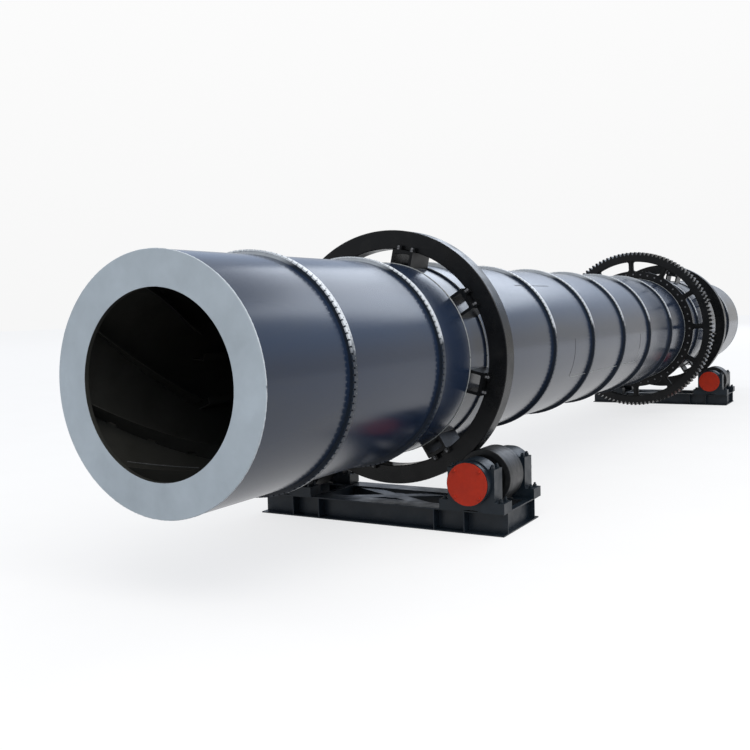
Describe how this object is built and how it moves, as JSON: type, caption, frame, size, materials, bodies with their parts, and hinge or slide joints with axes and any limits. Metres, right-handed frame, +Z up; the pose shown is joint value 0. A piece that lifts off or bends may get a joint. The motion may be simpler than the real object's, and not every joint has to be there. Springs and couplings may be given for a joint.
{
  "type": "rotary dryer drum",
  "caption": "Lagged horizontal steel drum with riding rings and a toothed girth gear, turning on rollers in bearing housings on two low beam bases.",
  "frame": {"origin": "on the floor, under the middle of the drum", "axes": "+X along the drum from the feed end to the discharge end, +Y across it, +Z up"},
  "size_m": [22.3, 3.36, 3.5565],
  "materials": {
    "jacket": "glossy blue-grey paint on sheet steel",
    "strap": "satin blue-grey paint",
    "end_plate": "light blue-grey paint",
    "shell": "primed plate",
    "black_steel": "black gloss paint",
    "base_paint": "dark blue-grey paint",
    "bearing_cover": "orange-red paint",
    "roller_steel": "black paint with a worn steel tread",
    "shaft_steel": "turned"
  },
  "bodies": {
    "bases": {"base_beams_front": "base_paint", "base_channels_front": "base_paint", "base_brace_front": "base_paint", "bearing_seats_front": "base_paint", "bearing_caps_front": "base_paint", "bearing_covers_front": "bearing_cover", "base_beams_rear": "base_paint", "base_channels_rear": "base_paint", "base_brace_rear": "base_paint", "bearing_seats_rear": "base_paint", "bearing_caps_rear": "base_paint", "bearing_covers_rear": "bearing_cover"},
    "drum": {"shell_course_feed": "shell", "shell_course_ring_front": "shell", "shell_course_middle": "shell", "shell_course_gear": "shell", "shell_course_drive": "shell", "shell_course_ring_rear": "shell", "shell_course_discharge": "shell", "end_plate_feed": "end_plate", "end_plate_discharge": "end_plate", "jacket_feed": "jacket", "jacket_middle": "jacket", "jacket_gear": "jacket", "jacket_discharge": "jacket", "jacket_end_rings": "end_plate", "jacket_spacer_rings": "end_plate", "jacket_straps": "strap", "riding_ring_front": "black_steel", "riding_ring_rear": "black_steel", "ring_chairs_front": "black_steel", "ring_chairs_rear": "black_steel", "gear_flange": "black_steel", "girth_gear": "black_steel", "lifting_flights": "shell"},
    "roller_front_left": {"roller_front_left": "roller_steel", "roller_shaft_front_left": "shaft_steel"},
    "roller_front_right": {"roller_front_right": "roller_steel", "roller_shaft_front_right": "shaft_steel"},
    "roller_rear_left": {"roller_rear_left": "roller_steel", "roller_shaft_rear_left": "shaft_steel"},
    "roller_rear_right": {"roller_rear_right": "roller_steel", "roller_shaft_rear_right": "shaft_steel"}
  },
  "joints": [
    {"name": "drum_spin", "type": "hinge", "parent": "bases", "child": "drum", "pos_m": [0, 0, 1.87681], "axis": [1, 0, 0], "continuous": true},
    {"name": "roller_front_left_spin", "type": "hinge", "parent": "bases", "child": "roller_front_left", "pos_m": [-7.135, 1.22235, 0.566], "axis": [1, 0, 0], "continuous": true},
    {"name": "roller_front_right_spin", "type": "hinge", "parent": "bases", "child": "roller_front_right", "pos_m": [-7.135, -1.22235, 0.566], "axis": [1, 0, 0], "continuous": true},
    {"name": "roller_rear_left_spin", "type": "hinge", "parent": "bases", "child": "roller_rear_left", "pos_m": [6.765, 1.22235, 0.566], "axis": [1, 0, 0], "continuous": true},
    {"name": "roller_rear_right_spin", "type": "hinge", "parent": "bases", "child": "roller_rear_right", "pos_m": [6.765, -1.22235, 0.566], "axis": [1, 0, 0], "continuous": true}
  ],
  "couplings": [
    {"joint": "roller_front_left_spin", "follows": "drum_spin", "ratio": -4.7436},
    {"joint": "roller_front_right_spin", "follows": "drum_spin", "ratio": -4.7436},
    {"joint": "roller_rear_left_spin", "follows": "drum_spin", "ratio": -4.7436},
    {"joint": "roller_rear_right_spin", "follows": "drum_spin", "ratio": -4.7436}
  ]
}
